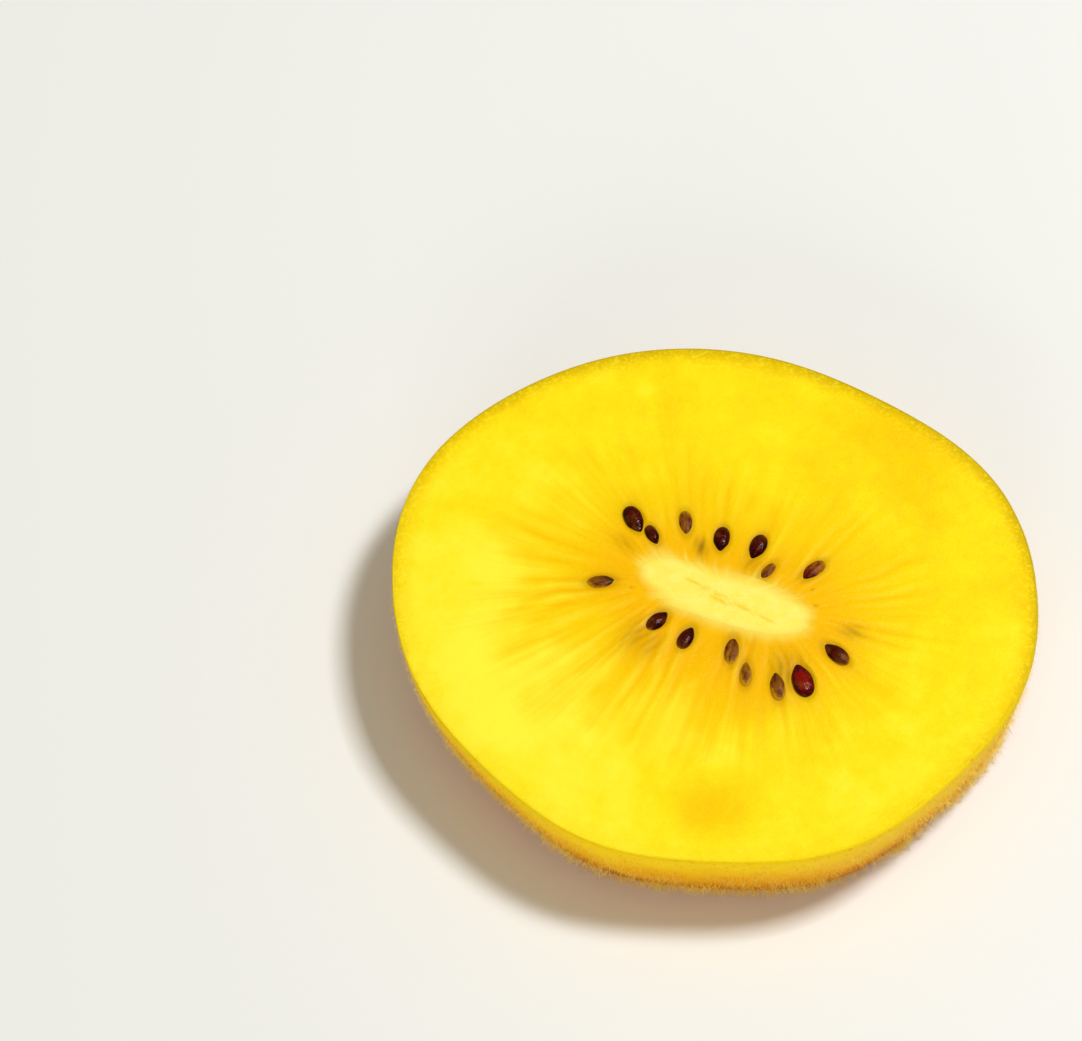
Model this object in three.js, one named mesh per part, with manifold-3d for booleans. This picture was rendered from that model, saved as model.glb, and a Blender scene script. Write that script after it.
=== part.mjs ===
// A slice cut across a golden kiwi fruit: thin skin, yellow flesh with seeds, and a pale core.
// Millimetres, +Z up. It lies on its smaller cut face, and +X runs along the core.

import * as THREE from "three";
import { LoftGeometry } from "three/addons/geometries/LoftGeometry.js";
import { mergeVertices } from "three/addons/utils/BufferGeometryUtils.js";
import Module from "manifold-3d";

// Whole slice
const FACE_HEIGHT = 8.6;
const MEAN_RADIUS = 24.0;
const GAP = 0.2;

// Waves that turn the round outline oval and slightly uneven. A crest is a bearing in degrees.
const OUTLINE_WAVES = [
  { count: 2, height: 1.15, crest: 4 },
  { count: 3, height: 0.37, crest: 39 },
  { count: 4, height: 0.13, crest: 20 },
  { count: 5, height: 0.16, crest: 35 },
  { count: 7, height: 0.11, crest: 5 },
  { count: 8, height: 0.11, crest: -3 },
];

// The wall leans inwards from the large face at the top to the small face at the bottom.
const WALL_LEAN = 1.8;
const WALL_LEAN_SWING = 0.7;
const WALL_LEAN_BEARING = 230;
const WALL_BULGE = 0.5;

// Skin
const SKIN_THICKNESS = 0.6;

// Core
const CORE_CENTRE = new THREE.Vector2(0.9, 0.4);
const CORE_LENGTH = 14.0;
const CORE_WIDTH = 4.7;
const CORE_SQUARENESS = 2.6;
const CORE_CROWN = 0.12;
const CORE_FOLD_DEPTH = 0.18;
const CORE_FOLD_PLACE = 0.5;

// Rays that fan out of the core across the seed chambers, with the face sunk a little there
const RAY_COUNT = 36;
const RAY_HEIGHT = 0.14;
const RAY_REACH = 0.8;
const CHAMBER_DIP = 0.16;

// Seeds: bearing round the core's centre in degrees, distance from it, length, and how far the
// flesh covers it, from 0 for a seed that stands proud to 1 for one just under the face.
const SEEDS = [
  { bearing: 38, distance: 7.3, length: 2.0, covered: 0.4 },
  { bearing: 53, distance: 4.0, length: 1.5, covered: 0.6 },
  { bearing: 79, distance: 5.2, length: 2.1, covered: 0.1 },
  { bearing: 111, distance: 5.2, length: 2.0, covered: 0.1 },
  { bearing: 133, distance: 7.3, length: 2.0, covered: 0.6 },
  { bearing: 154, distance: 9.9, length: 2.3, covered: 0 },
  { bearing: 154, distance: 7.9, length: 1.7, covered: 0.2 },
  { bearing: 191, distance: 9.7, length: 1.9, covered: 0.5 },
  { bearing: 221, distance: 5.7, length: 1.9, covered: 0.2 },
  { bearing: 249, distance: 4.8, length: 2.0, covered: 0.2 },
  { bearing: 294, distance: 4.8, length: 2.2, covered: 0.6 },
  { bearing: 301, distance: 7.0, length: 2.0, covered: 0.8 },
  { bearing: 315, distance: 8.8, length: 2.3, covered: 0.6 },
  { bearing: 327, distance: 9.4, length: 2.7, covered: 0 },
  { bearing: 348, distance: 9.9, length: 2.2, covered: 0.1 },
];
const SEED_WIDTH_SHARE = 0.62;
const SEED_DEPTH = 1.2;
const SEED_STANDS_OUT = 0.4;
const SEED_LEAST_OUT = 0.2;
const SEED_COVER_NARROWS = 0.35;
const SEED_TAPER = 0.4;
const SEED_SIDES = 8;
const SEED_RINGS = 7;
const SPINE_SHARE = 0.55;

// Mesh density
const STEPS_PER_RAY = 4;
const STEPS_ROUND = RAY_COUNT * STEPS_PER_RAY;
const FACE_ROWS = 10;
const WALL_ROWS = 4;
const CORE_STEPS_ROUND = 72;
const CORE_CROWN_SHARES = [1, 0.8, 0.65, CORE_FOLD_PLACE, 0.35, 0.2];

// Outline radius at a bearing: the mean radius with every wave added.
function outlineRadius(bearing) {
  return OUTLINE_WAVES.reduce((radius, wave) => {
    const crest = THREE.MathUtils.degToRad(wave.crest);
    return radius + wave.height * Math.cos(wave.count * (bearing - crest));
  }, MEAN_RADIUS);
}

// How far the wall has leaned in at a height: part straight taper, part a curve that steepens.
function wallInset(bearing, height) {
  const down = 1 - height / FACE_HEIGHT;
  const towards = bearing - THREE.MathUtils.degToRad(WALL_LEAN_BEARING);
  const lean = WALL_LEAN + WALL_LEAN_SWING * Math.cos(towards);
  return lean * ((1 - WALL_BULGE) * down + WALL_BULGE * down * down);
}

// A point on the wall, or a given depth inside it.
function wallPoint(bearing, height, depth) {
  const radius = outlineRadius(bearing) - wallInset(bearing, height) - depth;
  return new THREE.Vector3(radius * Math.cos(bearing), radius * Math.sin(bearing), height);
}

// A point of the core's outline, an oval with fuller ends than an ellipse, grown by a margin.
function coreEdge(bearing, height, margin) {
  const fuller = (value) => Math.sign(value) * Math.abs(value) ** (2 / CORE_SQUARENESS);
  return new THREE.Vector3(
    CORE_CENTRE.x + (CORE_LENGTH / 2 + margin) * fuller(Math.cos(bearing)),
    CORE_CENTRE.y + (CORE_WIDTH / 2 + margin) * fuller(Math.sin(bearing)),
    height,
  );
}

// One closed loop: a point for each bearing, counterclockwise from above.
function loopOf(steps, pointAt) {
  return Array.from({ length: steps }, (_, i) => pointAt((2 * Math.PI * i) / steps));
}

// Evenly spaced shares from 0 to 1, both included.
function shares(count) {
  return Array.from({ length: count + 1 }, (_, i) => i / count);
}

// Loops joined in order into a closed ring-shaped solid, so the last loop meets the first.
function ringSolid(loops) {
  return new LoftGeometry([...loops, loops[0]]);
}

// Thin ring of skin: up the outer wall, then down the inner one.
function skinGeometry() {
  const heights = shares(WALL_ROWS).map((share) => share * FACE_HEIGHT);
  const wall = (height, depth) => loopOf(STEPS_ROUND, (bearing) => wallPoint(bearing, height, depth));
  const outer = heights.map((height) => wall(height, 0));
  const inner = heights.map((height) => wall(height, SKIN_THICKNESS)).reverse();
  return ringSolid([...outer, ...inner]);
}

// Height of the cut face: level at the core and the rim, sunk and rayed between them.
function faceHeight(bearing, share) {
  const swell = Math.sin(Math.PI * Math.min(share / RAY_REACH, 1)) ** 2;
  return FACE_HEIGHT + swell * (RAY_HEIGHT * Math.cos(RAY_COUNT * bearing) - CHAMBER_DIP);
}

// A loop of the cut face, at a share of the way from the core's edge to the rim.
function faceLoop(share) {
  const rimDepth = SKIN_THICKNESS + GAP;
  return loopOf(STEPS_ROUND, (bearing) => {
    const point = coreEdge(bearing, FACE_HEIGHT, GAP);
    point.lerp(wallPoint(bearing, FACE_HEIGHT, rimDepth), share);
    point.z = faceHeight(bearing, share);
    return point;
  });
}

// Flesh without its seeds: up the wall, in across the face and down the hole for the core.
function fleshGeometry() {
  const rimDepth = SKIN_THICKNESS + GAP;
  const wall = shares(WALL_ROWS).slice(0, -1).map((share) =>
    loopOf(STEPS_ROUND, (bearing) => wallPoint(bearing, share * FACE_HEIGHT, rimDepth)),
  );
  const face = shares(FACE_ROWS).reverse().map(faceLoop);
  const holeFoot = loopOf(STEPS_ROUND, (bearing) => coreEdge(bearing, 0, GAP));
  return ringSolid([...wall, ...face, holeFoot]);
}

// Core plug: a low crown with a shallow fold round its middle.
function coreGeometry() {
  const crown = CORE_CROWN_SHARES.map((share) => {
    const fold = share === CORE_FOLD_PLACE ? CORE_FOLD_DEPTH : 0;
    const height = FACE_HEIGHT + CORE_CROWN * (1 - share * share) - fold;
    return loopOf(CORE_STEPS_ROUND, (bearing) => {
      const centre = new THREE.Vector3(CORE_CENTRE.x, CORE_CENTRE.y, height);
      return centre.lerp(coreEdge(bearing, height, 0), share);
    });
  });
  const foot = loopOf(CORE_STEPS_ROUND, (bearing) => coreEdge(bearing, 0, 0));
  return new LoftGeometry([foot, ...crown], { capStart: true, capEnd: true });
}

// Teardrop seed with its tip towards the core. It points away from the core's spine, so the
// seeds beside the core stand square to it and those past its ends fan out.
function seedGeometry({ bearing, distance, length, covered }) {
  const angle = THREE.MathUtils.degToRad(bearing);
  const x = distance * Math.cos(angle);
  const y = distance * Math.sin(angle);
  const outward = Math.atan2(y, x * (1 - SPINE_SHARE));
  const width = length * SEED_WIDTH_SHARE * (1 - SEED_COVER_NARROWS * covered);
  const standsOut = THREE.MathUtils.lerp(SEED_STANDS_OUT, SEED_LEAST_OUT, covered);

  const seed = new THREE.SphereGeometry(0.5, SEED_SIDES, SEED_RINGS);
  seed.rotateZ(Math.PI / 2);
  const points = seed.getAttribute("position");
  for (let i = 0; i < points.count; i++) {
    const fatness = 1 + SEED_TAPER * points.getX(i);
    points.setY(i, points.getY(i) * fatness);
    points.setZ(i, points.getZ(i) * fatness);
  }
  seed.scale(length, width, SEED_DEPTH);
  seed.rotateZ(outward);
  const height = FACE_HEIGHT + standsOut - SEED_DEPTH / 2;
  return seed.translate(CORE_CENTRE.x + x, CORE_CENTRE.y + y, height);
}

// A geometry as a solid that can be joined to others. Only positions stay, so that seams merge.
function solidOf(wasm, geometry) {
  const loose = geometry.toNonIndexed();
  loose.deleteAttribute("normal");
  loose.deleteAttribute("uv");
  const merged = mergeVertices(loose);
  return new wasm.Manifold(
    new wasm.Mesh({
      numProp: 3,
      vertProperties: merged.getAttribute("position").array,
      triVerts: new Uint32Array(merged.index.array),
    }),
  );
}

// Flesh with all its seeds fused in.
async function seededFleshGeometry() {
  const wasm = await Module();
  wasm.setup();
  const seeded = SEEDS.reduce(
    (flesh, seed) => flesh.add(solidOf(wasm, seedGeometry(seed))),
    solidOf(wasm, fleshGeometry()),
  );
  const mesh = seeded.getMesh();
  return new THREE.BufferGeometry()
    .setAttribute("position", new THREE.BufferAttribute(mesh.vertProperties, 3))
    .setIndex(new THREE.BufferAttribute(mesh.triVerts, 1));
}

function namedMesh(name, geometry, color, roughness) {
  const material = new THREE.MeshStandardMaterial({ color, roughness, metalness: 0 });
  const mesh = new THREE.Mesh(geometry, material);
  mesh.name = name;
  return mesh;
}

const slice = new THREE.Group();
slice.add(namedMesh("skin", skinGeometry(), 0xb98a2e, 0.8));
slice.add(namedMesh("flesh", await seededFleshGeometry(), 0xfde21f, 0.35));
slice.add(namedMesh("core", coreGeometry(), 0xfff08a, 0.45));

// The origin is at the middle of the slice's footprint.
const middle = new THREE.Box3().setFromObject(slice).getCenter(new THREE.Vector3());
slice.position.set(-middle.x, -middle.y, 0);

const part = new THREE.Group();
part.add(slice);

export default part;
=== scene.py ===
"""A slice cut across a golden kiwi fruit, lying on its smaller cut face.

Five kinds of piece are worked out here as numpy surfaces: the flesh with its fan of rays, the
pale core, the thin skin, the seeds and the short hairs on the skin. Shape functions work in
millimetres in the slice's own frame, and make_mesh turns them into metres. Bearings round the
slice run from +X towards +Y, in degrees in the tables and in radians in the functions. A face's
share runs from 0 at the core's edge to 1 at the skin.
"""

import math

import bpy
import numpy as np
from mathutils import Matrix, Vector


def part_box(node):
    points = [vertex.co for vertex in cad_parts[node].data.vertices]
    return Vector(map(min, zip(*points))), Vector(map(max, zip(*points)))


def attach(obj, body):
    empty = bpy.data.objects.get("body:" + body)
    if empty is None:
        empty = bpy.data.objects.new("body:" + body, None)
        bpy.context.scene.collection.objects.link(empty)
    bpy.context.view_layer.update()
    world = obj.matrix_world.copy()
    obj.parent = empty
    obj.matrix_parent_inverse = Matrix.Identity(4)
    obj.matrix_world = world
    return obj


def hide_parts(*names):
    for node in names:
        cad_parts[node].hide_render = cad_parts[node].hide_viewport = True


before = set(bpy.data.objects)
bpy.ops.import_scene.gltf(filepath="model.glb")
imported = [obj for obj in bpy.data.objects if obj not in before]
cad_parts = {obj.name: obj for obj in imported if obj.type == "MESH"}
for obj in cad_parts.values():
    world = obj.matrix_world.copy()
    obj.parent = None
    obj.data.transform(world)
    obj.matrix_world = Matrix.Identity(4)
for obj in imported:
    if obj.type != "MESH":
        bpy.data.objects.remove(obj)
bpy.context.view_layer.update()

MM = 0.001
FULL_TURN = 2 * math.pi

# Outline: mean radius, and waves as (count round the slice, height, bearing of a crest)
MEAN_RADIUS = 24.0
OUTLINE_WAVES = (
    (2, 1.15, 4), (3, 0.37, 39), (4, 0.13, 20), (5, 0.16, 35), (7, 0.11, 5), (8, 0.11, -3),
)
FACE_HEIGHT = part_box("skin")[1][2] / MM

# The wall leans in towards the small face, most at one bearing
WALL_LEAN = 1.8
WALL_LEAN_SWING = 0.7
WALL_LEAN_BEARING = 230
WALL_BULGE = 0.5

# Skin: its thickness, height and depth of its rounded cut edge, and bumps in two finenesses
SKIN_THICKNESS = 0.22
EDGE_ROUND = 0.35
EDGE_INSET = 0.12
SKIN_BUMPS = (0.05, 0.025)

# Gap between the walls of two pieces, and how far the small face lies above the table
WALL_CLEARANCE = 0.02
UNDER_RECESS = 0.04

# How finely the surfaces are divided, and how near a cut a wall's last row lies, in millimetres
STEPS_ROUND = 720
CORE_STEPS = 300
UPPER_ROWS = 88
UNDER_ROWS = 34
CORE_ROWS = 44
SKIN_ROWS = 44
SEED_RINGS = 22
SEED_SIDES = 28
CUT_ROW = 0.3

CORE_CENTRE = np.array((0.9, 0.4))
CORE_LENGTH = 14.0
CORE_WIDTH = 4.7
CORE_SQUARENESS = 2.6

# The core's cream starts to fade at one distance from its outline and ends at another. Lobes reach
# past the outline (+) or stop short of it (-): bearing, breadth, reach
CREAM_FEATHER = (-1.0, 0.7)
CREAM_LOBES = (
    (155, 30, 0.4),
    (102, 24, -0.4),
    (203, 20, -0.7),
    (42, 30, -0.45),
    (285, 40, 0.4),
)

# Fold along the middle of the core
FOLD_CENTRE = (1.1, 0.15)
FOLD_LENGTH = 7.4
FOLD_BREADTH = 0.8
FOLD_TURN = -10
FOLD_DEPTH = 0.07
CORE_FIBRE = 0.015
CORE_CROWN = 0.1

# Pits along the fold: x, y, length, breadth
CORE_PITS = (
    (0.45, -0.1, 2.3, 0.5),
    (2.4, -0.15, 1.9, 0.4),
    (4.4, -0.5, 2.0, 0.26),
    (-1.9, 0.8, 1.8, 0.34),
)

# Rays of the cut faces, in two finenesses, and where they are bolder: bearing, sharpness, boldness
RAY_COUNTS = (38, 62)
RAY_WANDER = (0.6, 0.16)
RAY_REACH = 0.8
RAY_RELIEF = 0.085
RAY_STRENGTH = 0.34
RAY_BOLD = ((228, 2, 0.08), (15, 6, 0.12))
CHAMBER_DIP = 0.16
LUMP_HEIGHT = 0.014

# Pockets that the seeds sit in, and the darker flesh round a seed, partly tint and partly painted
# shade: reach, strength
POCKET_DEPTH = 0.06
POCKET_REACH = 0.3
POCKET_COVERED_LOSS = 1.2
SEED_HALOS = ((0.4, 0.3), (1.5, 0.1))

# Seeds that the upper cut laid open: bearing round the core's centre, distance, length, how far
# the flesh covers them, and tone from near-black to red-brown
FACE_SEEDS = (
    (38, 7.3, 2.3, 0.50, 0.85),
    (53, 4.0, 1.85, 0.70, 0.40),
    (79, 5.2, 2.3, 0.15, 0.15),
    (111, 5.2, 2.2, 0.10, 0.20),
    (133, 7.3, 2.2, 0.65, 0.50),
    (154, 9.9, 2.5, 0.00, 0.10),
    (154, 7.9, 1.8, 0.20, 0.20),
    (191, 9.7, 2.2, 0.55, 0.30),
    (221, 5.7, 2.1, 0.10, 0.35),
    (249, 4.8, 2.1, 0.15, 0.30),
    (294, 4.8, 2.5, 0.70, 0.45),
    (301, 7.0, 2.2, 0.90, 0.50),
    (315, 8.8, 2.5, 0.75, 0.45),
    (327, 9.4, 2.9, 0.00, 1.00),
    (348, 9.9, 2.4, 0.30, 0.15),
)
# Seeds wholly under the upper face, which only tint it: bearing, distance, length, strength of tint
HIDDEN_SEEDS = (
    (131, 4.8, 1.8, 0.88),
    (1, 10.2, 2.0, 0.55),
    (4, 10.5, 1.5, 0.30),
    (167, 9.1, 2.4, 0.35),
    (225, 7.5, 3.6, 0.50),
    (235, 7.2, 2.8, 0.45),
    (322, 8.2, 3.6, 0.70),
    (331, 8.2, 2.6, 0.50),
    (309, 5.1, 3.4, 0.22),
    (75, 4.0, 2.6, 0.55),
    (12, 7.0, 0.4, 0.50),
    (24, 6.8, 0.35, 0.50),
    (193, 7.3, 0.4, 0.45),
)

# Seeds of the underside: their number, their distance past the core's ends, and how much nearer
# they lie beside it
UNDER_SEED_COUNT = 14
UNDER_SEED_FAR = 9.6
UNDER_SEED_NEARER = 4.2

# Shape of every seed. Its widest level lies at its root's depth under the face. Cover makes it
# narrower and lower. It is fatter at the blunt end, by its taper, and draws in at the tip.
SEED_WIDTH_SHARE = 0.58
SEED_STANDS_OUT = 0.34
SEED_LEAST_OUT = 0.03
SEED_ROOT = 0.1
SEED_LOWEST = 0.004
SEED_COVER_NARROWS = 0.25
SEED_COVER_SLOPE = 0.3
SEED_TAPER = 0.3
SEED_TIP = 0.22
SEED_COAT_STEP = 7
SPINE_SHARE = 0.55

# Hairs: the shortest and the spread of length, how length falls with height, least and most half
# thickness, depth of the root, and the spine's stations with the share of thickness left at each
HAIR_COUNT = 11000
HAIR_LENGTH = (0.3, 0.62)
HAIR_SHORTENS = (1.6, 0.85)
HAIR_THICKNESS = (0.011, 0.018)
HAIR_ROOT = 0.05
HAIR_STATIONS = (0.0, 0.4, 0.75)
HAIR_TAPER = (1.0, 0.8, 0.5)

# Numbers that start the seeded draws, one for each use
UPPER_FACE_DRAW = 11
UNDER_FACE_DRAW = 61
CREAM_DRAW = 32
CORE_DRAW = 91
FOLD_DRAW = 93
PIT_DRAW = 97
SKIN_DRAW = 21
UNDER_SEED_DRAW = 41
SEED_GRAIN_DRAW = 300
SEED_LUMP_DRAW = 330
HAIR_DRAW = 7
HAIR_PATCH_DRAW = 31

# Places of the face with a tone of their own: x, y, radius in millimetres, paler (+) or deeper (-)
FACE_PATCHES = (
    (-11.0, 16.6, 1.1, 1.0),
    (6.2, -17.8, 3.0, -1.5),
    (1.6, -16.8, 2.6, -0.6),
    (-7.8, -5.2, 2.6, 0.9),
    (5.8, -8.4, 3.2, -0.6),
    (-16.6, -2.2, 4.2, 0.5),
    (-17.0, -9.5, 3.6, 0.7),
    (-3.0, -18.8, 3.0, 0.1),
    (-11.0, -13.5, 4.2, 0.8),
    (9.8, 17.6, 5.0, -0.8),
)

# Camera, aimed at a point of the cut face's plane
CAMERA_LENS = 172
CAMERA_AIM = (-14.6, 2.6)
CAMERA_BEARING = 19
CAMERA_ELEVATION = 59.05
CAMERA_DISTANCE = 403.7

# Edges sharper than this many degrees stay sharp
SHARP_ANGLE = 50


# ---------------- shape

def outline_radius(bearing):
    """Radius of the outline: the mean radius plus a cosine wave for each entry of OUTLINE_WAVES."""
    return MEAN_RADIUS + sum(
        height * np.cos(count * (bearing - math.radians(crest)))
        for count, height, crest in OUTLINE_WAVES
    )


def wall_inset(bearing, height):
    """How far the wall has leaned in: a lean that swings with bearing, part straight, part
    squared in depth."""
    down = 1 - height / FACE_HEIGHT
    lean = WALL_LEAN + WALL_LEAN_SWING * np.cos(bearing - math.radians(WALL_LEAN_BEARING))
    return lean * ((1 - WALL_BULGE) * down + WALL_BULGE * down**2)


def wall_points(bearing, height, depth=0.0):
    """Points on the wall, or a depth inside it: polar coordinates at the outline radius less lean
    and depth."""
    radius = outline_radius(bearing) - wall_inset(bearing, height) - depth
    return np.stack([radius * np.cos(bearing), radius * np.sin(bearing), height + 0 * radius], -1)


def core_edge(bearing, margin=0.0):
    """Core outline in plan: a superellipse whose cosine and sine are raised to 2 / squareness,
    grown by a margin."""
    def fuller(value):
        return np.sign(value) * np.abs(value) ** (2 / CORE_SQUARENESS)
    x = CORE_CENTRE[0] + (CORE_LENGTH / 2 + margin) * fuller(np.cos(bearing))
    y = CORE_CENTRE[1] + (CORE_WIDTH / 2 + margin) * fuller(np.sin(bearing))
    return np.stack([x, y], -1)


def round_turn(steps):
    """Bearings of even steps round a full turn, without its end."""
    return np.linspace(0, FULL_TURN, steps, endpoint=False)


def smooth(value, low, high):
    """Smooth step: 0 below low, 1 above high, and 3t^2 - 2t^3 between them."""
    t = np.clip((value - low) / (high - low), 0, 1)
    return t * t * (3 - 2 * t)


def value_noise(across, along, cells_across, cells_along, seed):
    """Smooth noise from -1 to 1: random values on a lattice, joined by smooth steps. It closes
    where across, a share of a turn, wraps from 1 to 0."""
    table = np.random.default_rng(seed).uniform(-1, 1, (cells_along + 2, cells_across))
    u = np.mod(across, 1.0) * cells_across
    v = np.clip(along, 0, 1) * cells_along
    i = np.floor(u).astype(int)
    j = np.floor(v).astype(int)
    s = smooth(u - i, 0, 1)
    t = smooth(v - j, 0, 1)
    left = i % cells_across
    right = (i + 1) % cells_across
    low = table[j, left] * (1 - s) + table[j, right] * s
    high = table[j + 1, left] * (1 - s) + table[j + 1, right] * s
    return low * (1 - t) + high * t


def outline_middle():
    """Middle of the outline's bounding box, which is the part's origin in plan."""
    loop = wall_points(round_turn(STEPS_ROUND), FACE_HEIGHT)
    return (loop.min(0) + loop.max(0)) / 2 * (1, 1, 0)


# ---------------- meshes

def new_object(name, data):
    """A new object of the scene, carrying a mesh, a lamp's data or a camera's."""
    made = bpy.data.objects.new(name, data)
    bpy.context.scene.collection.objects.link(made)
    return made


def make_mesh(name, points, faces, fields):
    """A new object from millimetre points in the slice's own frame, moved so that the outline is
    centred. Each field is stored as a point attribute: one number, or three, for each point."""
    mesh = bpy.data.meshes.new(name)
    mesh.from_pydata(((points - outline_middle()) * MM).tolist(), [], faces)
    for field, values in fields.items():
        kind, key = ("FLOAT_VECTOR", "vector") if values.ndim == 2 else ("FLOAT", "value")
        layer = mesh.attributes.new(field, kind, "POINT")
        layer.data.foreach_set(key, values.astype(np.float32).ravel())
    mesh.shade_smooth()
    mesh.update()
    return new_object(name, mesh)


def loop_faces(rows, steps, closed_rows):
    """Four-sided faces between successive loops of points. closed_rows also joins the last loop
    to the first."""
    last = rows if closed_rows else rows - 1
    row, step = np.meshgrid(np.arange(last), np.arange(steps), indexing="ij")
    beyond = (row + 1) % rows
    right = (step + 1) % steps
    near, far = row * steps, beyond * steps
    return np.stack([near + step, near + right, far + right, far + step], -1).reshape(-1, 4)


def loft(name, grid, fields, capped=False):
    """A closed surface from a grid of loops, shaped (loop, step, 3). Its last loop meets its
    first, but a capped one ends in a fan round one point at each end."""
    rows, steps = grid.shape[:2]
    points = grid.reshape(-1, 3)
    flat = {key: values.reshape(rows * steps, *values.shape[2:]) for key, values in fields.items()}
    faces = loop_faces(rows, steps, not capped).tolist()
    if capped:
        ring = np.arange(steps)
        turned = (ring + 1) % steps
        first = rows * steps
        top = (rows - 1) * steps
        points = np.vstack([points, grid[0].mean(0), grid[-1].mean(0)])
        for key, values in flat.items():
            flat[key] = np.concatenate([values, values[:1], values[-1:]])
        faces += np.stack([turned, ring, np.full(steps, first)], -1).tolist()
        faces += np.stack([top + ring, top + turned, np.full(steps, first + 1)], -1).tolist()
    piece = make_mesh(name, points, faces, flat)
    piece.data.set_sharp_from_angle(angle=math.radians(SHARP_ANGLE))
    return piece


# ---------------- seeds

def seed_frames(seeds):
    """Centre, outward bearing, length, width, cover and tone of each seed. A seed points away
    from the core's spine: its bearing is that of (x less SPINE_SHARE of itself, y)."""
    bearing, distance, length, cover, tone = np.array(seeds, float).T
    x = distance * np.cos(np.radians(bearing))
    y = distance * np.sin(np.radians(bearing))
    outward = np.arctan2(y, x * (1 - SPINE_SHARE))
    width = length * SEED_WIDTH_SHARE * (1 - SEED_COVER_NARROWS * cover)
    centre = np.stack([x, y], -1) + CORE_CENTRE
    return list(zip(centre, outward, length, width, cover, tone))


def under_seeds():
    """Seeds of the underside, placed by rule: even steps round the core with a seeded jitter,
    further out past its ends than beside it."""
    draw = np.random.default_rng(UNDER_SEED_DRAW)
    jitter = draw.uniform(-0.35, 0.35, UNDER_SEED_COUNT)
    bearing = (np.arange(UNDER_SEED_COUNT) + jitter) * 360 / UNDER_SEED_COUNT
    beside = np.abs(np.sin(np.radians(bearing)))
    distance = UNDER_SEED_FAR - UNDER_SEED_NEARER * beside**2
    distance = distance + draw.uniform(-0.8, 1.2, UNDER_SEED_COUNT)
    length = draw.uniform(1.7, 2.4, UNDER_SEED_COUNT)
    cover = draw.uniform(0, 0.7, UNDER_SEED_COUNT)
    tone = draw.uniform(0, 0.9, UNDER_SEED_COUNT)
    return np.stack([bearing, distance, length, cover, tone], -1)


def along_and_across(points, centre, turn):
    """Distances from a centre along and across a direction, which turn gives in radians."""
    dx, dy = points[..., 0] - centre[0], points[..., 1] - centre[1]
    along = dx * math.cos(turn) + dy * math.sin(turn)
    across = -dx * math.sin(turn) + dy * math.cos(turn)
    return along, across


def seed_nearness(points, seeds, reach, covered_loss=0.0):
    """1 on a seed's own outline and 0 at reach millimetres outside it, as the largest over all
    seeds. Distance is the elliptical radius less one, times the seed's half width. A covered seed
    counts for less, by covered_loss times its cover."""
    nearest = np.zeros(points.shape[:-1])
    for centre, outward, length, width, cover, _ in seed_frames(seeds):
        along, across = along_and_across(points, centre, outward)
        oval = np.hypot(along / (length / 2), across / (width / 2))
        away = (oval - 1) * width / 2
        near = (1 - np.clip(away / reach, 0, 1)) * (1 - covered_loss * cover)
        nearest = np.maximum(nearest, near)
    return nearest


def make_seeds(name, seeds, face_height, up):
    """Teardrop seeds, widest just under the level of the face: ovals whose sections grow by the
    sine of the angle from the tip, are fatter at the blunt end by SEED_TAPER, and draw in to a
    point at the tip, with low pits and lumps from noise. The flesh covers a seed more towards its
    blunt end, by SEED_COVER_SLOPE. On the underside seeds are pressed flat where they would pass
    below the slice. A seed's own place is kept as its coat's, apart from its neighbours by
    SEED_COAT_STEP."""
    rings, sides = SEED_RINGS, SEED_SIDES
    swing = np.linspace(0, math.pi, rings + 2)[1:-1, None]
    turn = round_turn(sides)[None, :]
    along = -np.cos(swing)
    tip = 1 - SEED_TIP * smooth(-along, 0.3, 1.0)
    fat = np.sin(swing) * (1 + SEED_TAPER / 2 * along) * tip
    ring = np.arange(sides)
    turned = (ring + 1) % sides
    foot, end = rings * sides, rings * sides + 1
    caps = np.concatenate([
        np.stack([ring, turned, np.full(sides, foot)], -1),
        np.stack([turned + foot - sides, ring + foot - sides, np.full(sides, end)], -1),
    ])
    points, faces, covers, tones, crowns, coats = [], [], [], [], [], []
    for number, (centre, outward, length, width, cover, tone) in enumerate(seed_frames(seeds)):
        ways = turn / FULL_TURN, (along + 1) / 2
        pits = 1 + 0.014 * value_noise(*ways, 11, 9, SEED_GRAIN_DRAW + number)
        pits = pits + 0.05 * value_noise(*ways, 4, 3, SEED_LUMP_DRAW + number)
        out = SEED_STANDS_OUT + (SEED_LEAST_OUT - SEED_STANDS_OUT) * cover
        x = along * length / 2 + 0 * turn
        y = fat * np.cos(turn) * width / 2 * pits
        z = fat * np.sin(turn) * (out + SEED_ROOT) * pits
        poles = [(-length / 2, 0, 0), (length / 2, 0, 0)]
        local = np.vstack([np.stack([x, y, z], -1).reshape(-1, 3), poles])
        cos, sin = math.cos(outward), math.sin(outward)
        spin = np.array([[cos, -sin], [sin, cos]])
        placed = np.empty_like(local)
        placed[:, :2] = local[:, :2] @ spin.T + centre
        placed[:, 2] = np.maximum(local[:, 2] + face_height - up * SEED_ROOT, SEED_LOWEST)
        base = number * len(local)
        faces += (loop_faces(rings, sides, False)[:, ::-1] + base).tolist()
        faces += (caps + base).tolist()
        points.append(placed)
        slope = SEED_COVER_SLOPE * smooth(cover, 0, 0.1)
        covers.append(cover + slope * local[:, 0] / (length / 2))
        tones.append(np.full(len(local), tone))
        crowns.append(local[:, 2] / (out + SEED_ROOT) * up)
        coats.append(local + (0, 0, SEED_COAT_STEP * number))
    fields = {
        "cover": np.concatenate(covers),
        "tone": np.concatenate(tones),
        "crown": np.concatenate(crowns),
        "coat": np.vstack(coats),
    }
    return make_mesh(name, np.vstack(points), faces, fields)


# ---------------- flesh, core and skin

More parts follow.
